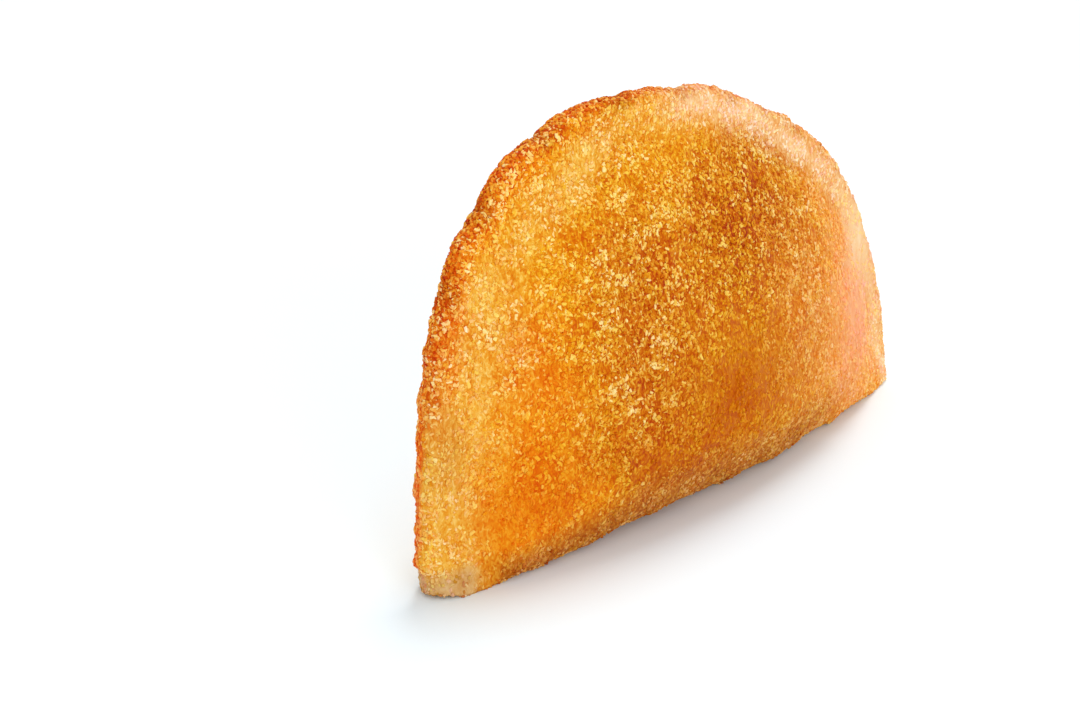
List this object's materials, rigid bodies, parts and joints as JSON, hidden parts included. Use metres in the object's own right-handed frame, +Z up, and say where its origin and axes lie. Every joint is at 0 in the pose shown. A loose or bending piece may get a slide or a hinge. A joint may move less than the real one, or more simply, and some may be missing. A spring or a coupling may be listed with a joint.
{
  "type": "rissole",
  "caption": "Fried breadcrumbed rissole, a half-moon pasty with a crimped seam round its arc, standing on its straight fold.",
  "frame": {"origin": "on the standing surface, under the middle of the body", "axes": "+X along the fold towards the rounder corner, +Y through the thickness away from the shown side, +Z up from the fold to the top of the arc"},
  "size_m": [0.1006, 0.0246, 0.0543],
  "materials": {
    "crust": "matte golden-brown fried breadcrumbs"
  },
  "bodies": {
    "root": {"rissole": "crust"}
  },
  "joints": []
}
